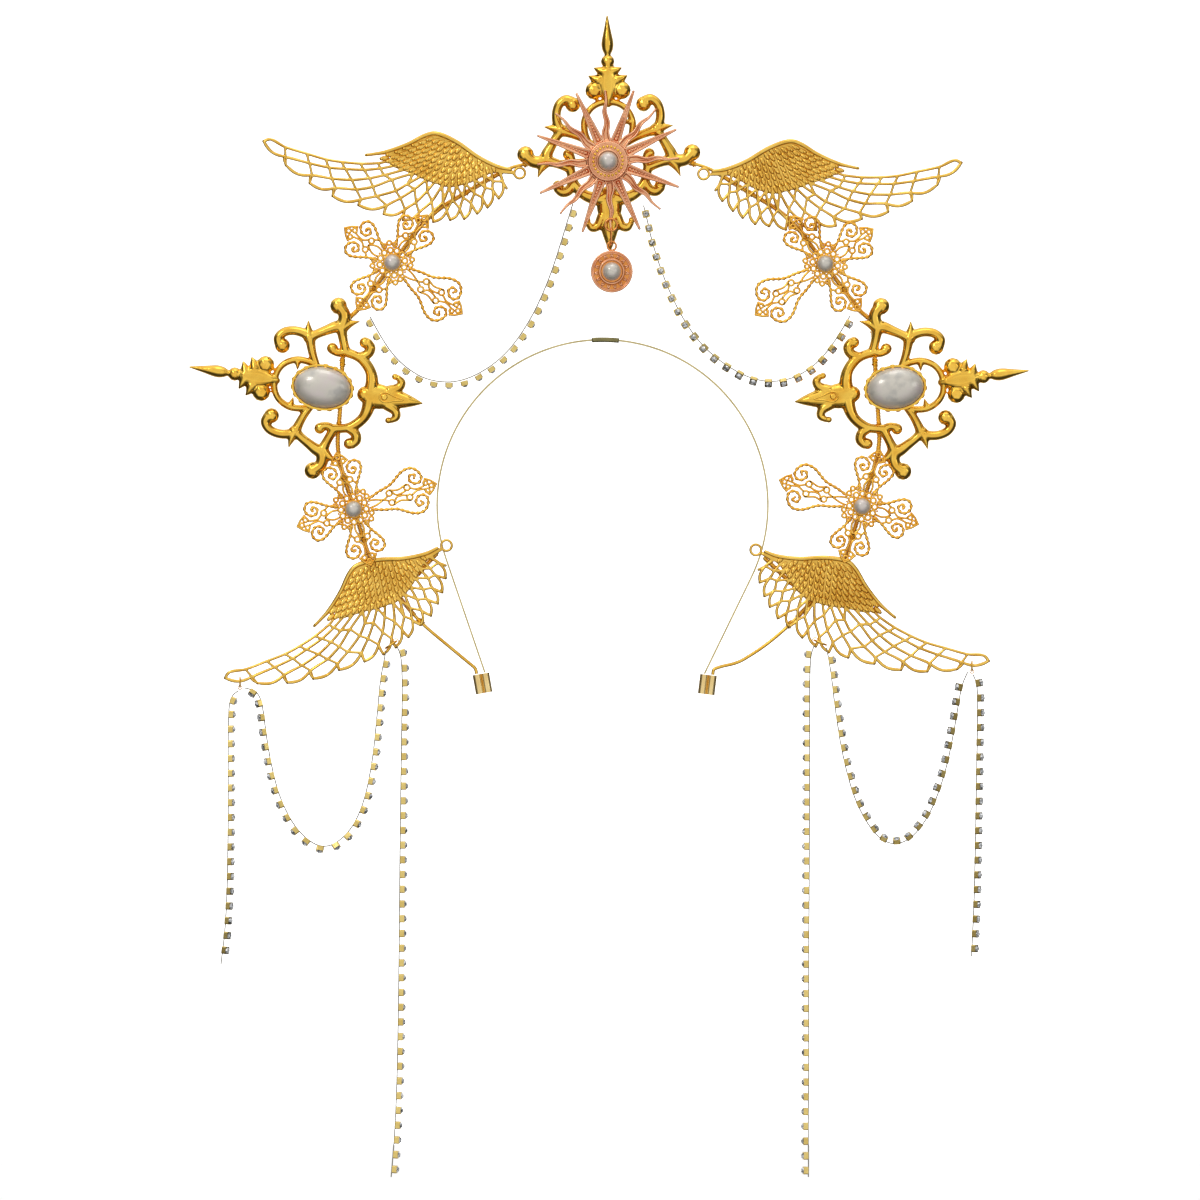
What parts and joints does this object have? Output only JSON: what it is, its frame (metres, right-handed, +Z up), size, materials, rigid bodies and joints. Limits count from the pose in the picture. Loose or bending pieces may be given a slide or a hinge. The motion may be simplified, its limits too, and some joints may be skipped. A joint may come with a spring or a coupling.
{
  "type": "crown",
  "caption": "Halo crown on a spring hoop: a wire frame with wings, crosses, ornaments, pearls, a starburst pendant and hanging crystal chains.",
  "frame": {"origin": "centre of the hoop's circle, in the middle of the band's width", "axes": "+Z up along the hoop's line of symmetry, +X to the right seen from the front, the front faces -Y"},
  "size_m": [0.3655, 0.0199, 0.5049],
  "materials": {
    "cast_gold": "polished",
    "crystal": "polished",
    "cup_brass": "polished",
    "filigree_gold": "polished",
    "hoop_gold": "satin",
    "pearl": "pearlescent",
    "rose_gold": "satin",
    "thread_metal": "satin",
    "wire_gold": "polished"
  },
  "bodies": {
    "crown": {"hoop_band": "hoop_gold", "left_ferrule": "wire_gold", "right_ferrule": "wire_gold", "left_frame_wire": "wire_gold", "right_frame_wire": "wire_gold", "left_brace_wire": "wire_gold", "right_brace_wire": "wire_gold", "upper_left_wing": "filigree_gold", "upper_right_wing": "filigree_gold", "lower_left_wing": "filigree_gold", "lower_right_wing": "filigree_gold", "upper_left_cross": "filigree_gold", "upper_right_cross": "filigree_gold", "lower_left_cross": "filigree_gold", "lower_right_cross": "filigree_gold", "cross_pearls": "pearl", "top_ornament": "cast_gold", "left_ornament": "cast_gold", "right_ornament": "cast_gold", "oval_bezels": "cast_gold", "oval_pearls": "pearl", "starburst": "rose_gold", "star_pearl": "pearl", "star_connector": "rose_gold", "wire_lashings": "wire_gold", "tip_rings": "wire_gold", "wing_rings": "wire_gold"},
    "pendant": {"pendant_link": "rose_gold", "medallion": "rose_gold", "pendant_pearl": "pearl"},
    "left_tip_loop_body": {"left_tip_loop": "wire_gold"},
    "right_tip_loop_body": {"right_tip_loop": "wire_gold"},
    "left_drop_loop_body": {"left_drop_loop": "wire_gold"},
    "right_drop_loop_body": {"right_drop_loop": "wire_gold"},
    "upper_left_swag": {"upper_left_swag_thread": "thread_metal", "upper_left_swag_cups": "cup_brass", "upper_left_swag_stones": "crystal"},
    "upper_right_swag": {"upper_right_swag_thread": "thread_metal", "upper_right_swag_cups": "cup_brass", "upper_right_swag_stones": "crystal"},
    "lower_left_swag": {"lower_left_swag_thread": "thread_metal", "lower_left_swag_cups": "cup_brass", "lower_left_swag_stones": "crystal"},
    "lower_right_swag": {"lower_right_swag_thread": "thread_metal", "lower_right_swag_cups": "cup_brass", "lower_right_swag_stones": "crystal"},
    "left_tip_drop": {"left_tip_drop_thread": "thread_metal", "left_tip_drop_cups": "cup_brass", "left_tip_drop_stones": "crystal"},
    "right_tip_drop": {"right_tip_drop_thread": "thread_metal", "right_tip_drop_cups": "cup_brass", "right_tip_drop_stones": "crystal"},
    "left_long_drop": {"left_long_drop_thread": "thread_metal", "left_long_drop_cups": "cup_brass", "left_long_drop_stones": "crystal"},
    "right_long_drop": {"right_long_drop_thread": "thread_metal", "right_long_drop_cups": "cup_brass", "right_long_drop_stones": "crystal"}
  },
  "joints": [
    {"name": "pendant_swing", "type": "hinge", "parent": "crown", "child": "pendant", "pos_m": [0.0037, -0.009, 0.1188], "axis": [1, 0, 0], "range_deg": [-60, 3]},
    {"name": "upper_left_swag_swing", "type": "hinge", "parent": "crown", "child": "upper_left_swag", "pos_m": [-0.05695, -0.005, 0.10625], "axis": [0.8743, 0, 0.4853], "range_deg": [-30, 30]},
    {"name": "upper_right_swag_swing", "type": "hinge", "parent": "crown", "child": "upper_right_swag", "pos_m": [0.0626, -0.005, 0.10605], "axis": [0.8811, 0, -0.473], "range_deg": [-30, 30]},
    {"name": "lower_left_swag_swing", "type": "hinge", "parent": "crown", "child": "lower_left_swag", "pos_m": [-0.12485, -0.00405, -0.07135], "axis": [0.9666, -0.0219, 0.2554], "range_deg": [-30, 10]},
    {"name": "lower_right_swag_swing", "type": "hinge", "parent": "crown", "child": "lower_right_swag", "pos_m": [0.12795, -0.00405, -0.06725], "axis": [0.985, 0.0224, -0.1714], "range_deg": [-30, 5]},
    {"name": "left_tip_drop_sway", "type": "hinge", "parent": "crown", "child": "left_tip_loop_body", "pos_m": [-0.1575, -0.00335, -0.0793], "axis": [0, 1, 0], "range_deg": [-15, 30]},
    {"name": "left_tip_drop_swing", "type": "hinge", "parent": "left_tip_loop_body", "child": "left_tip_drop", "pos_m": [-0.1575, -0.00335, -0.08017], "axis": [1, 0, 0], "range_deg": [-35, 35]},
    {"name": "right_tip_drop_sway", "type": "hinge", "parent": "crown", "child": "right_tip_loop_body", "pos_m": [0.1605, -0.00335, -0.0723], "axis": [0, 1, 0], "range_deg": [-30, 15]},
    {"name": "right_tip_drop_swing", "type": "hinge", "parent": "right_tip_loop_body", "child": "right_tip_drop", "pos_m": [0.1605, -0.00335, -0.07316], "axis": [1, 0, 0], "range_deg": [-35, 35]},
    {"name": "left_long_drop_sway", "type": "hinge", "parent": "crown", "child": "left_drop_loop_body", "pos_m": [-0.08987, -0.00475, -0.05938], "axis": [0, 1, 0], "range_deg": [-20, 8]},
    {"name": "left_long_drop_swing", "type": "hinge", "parent": "left_drop_loop_body", "child": "left_long_drop", "pos_m": [-0.08987, -0.00475, -0.06065], "axis": [1, 0, 0], "range_deg": [-35, 12]},
    {"name": "right_long_drop_sway", "type": "hinge", "parent": "crown", "child": "right_drop_loop_body", "pos_m": [0.09235, -0.00475, -0.05889], "axis": [0, 1, 0], "range_deg": [-8, 20]},
    {"name": "right_long_drop_swing", "type": "hinge", "parent": "right_drop_loop_body", "child": "right_long_drop", "pos_m": [0.09235, -0.00475, -0.06016], "axis": [1, 0, 0], "range_deg": [-35, 12]}
  ]
}
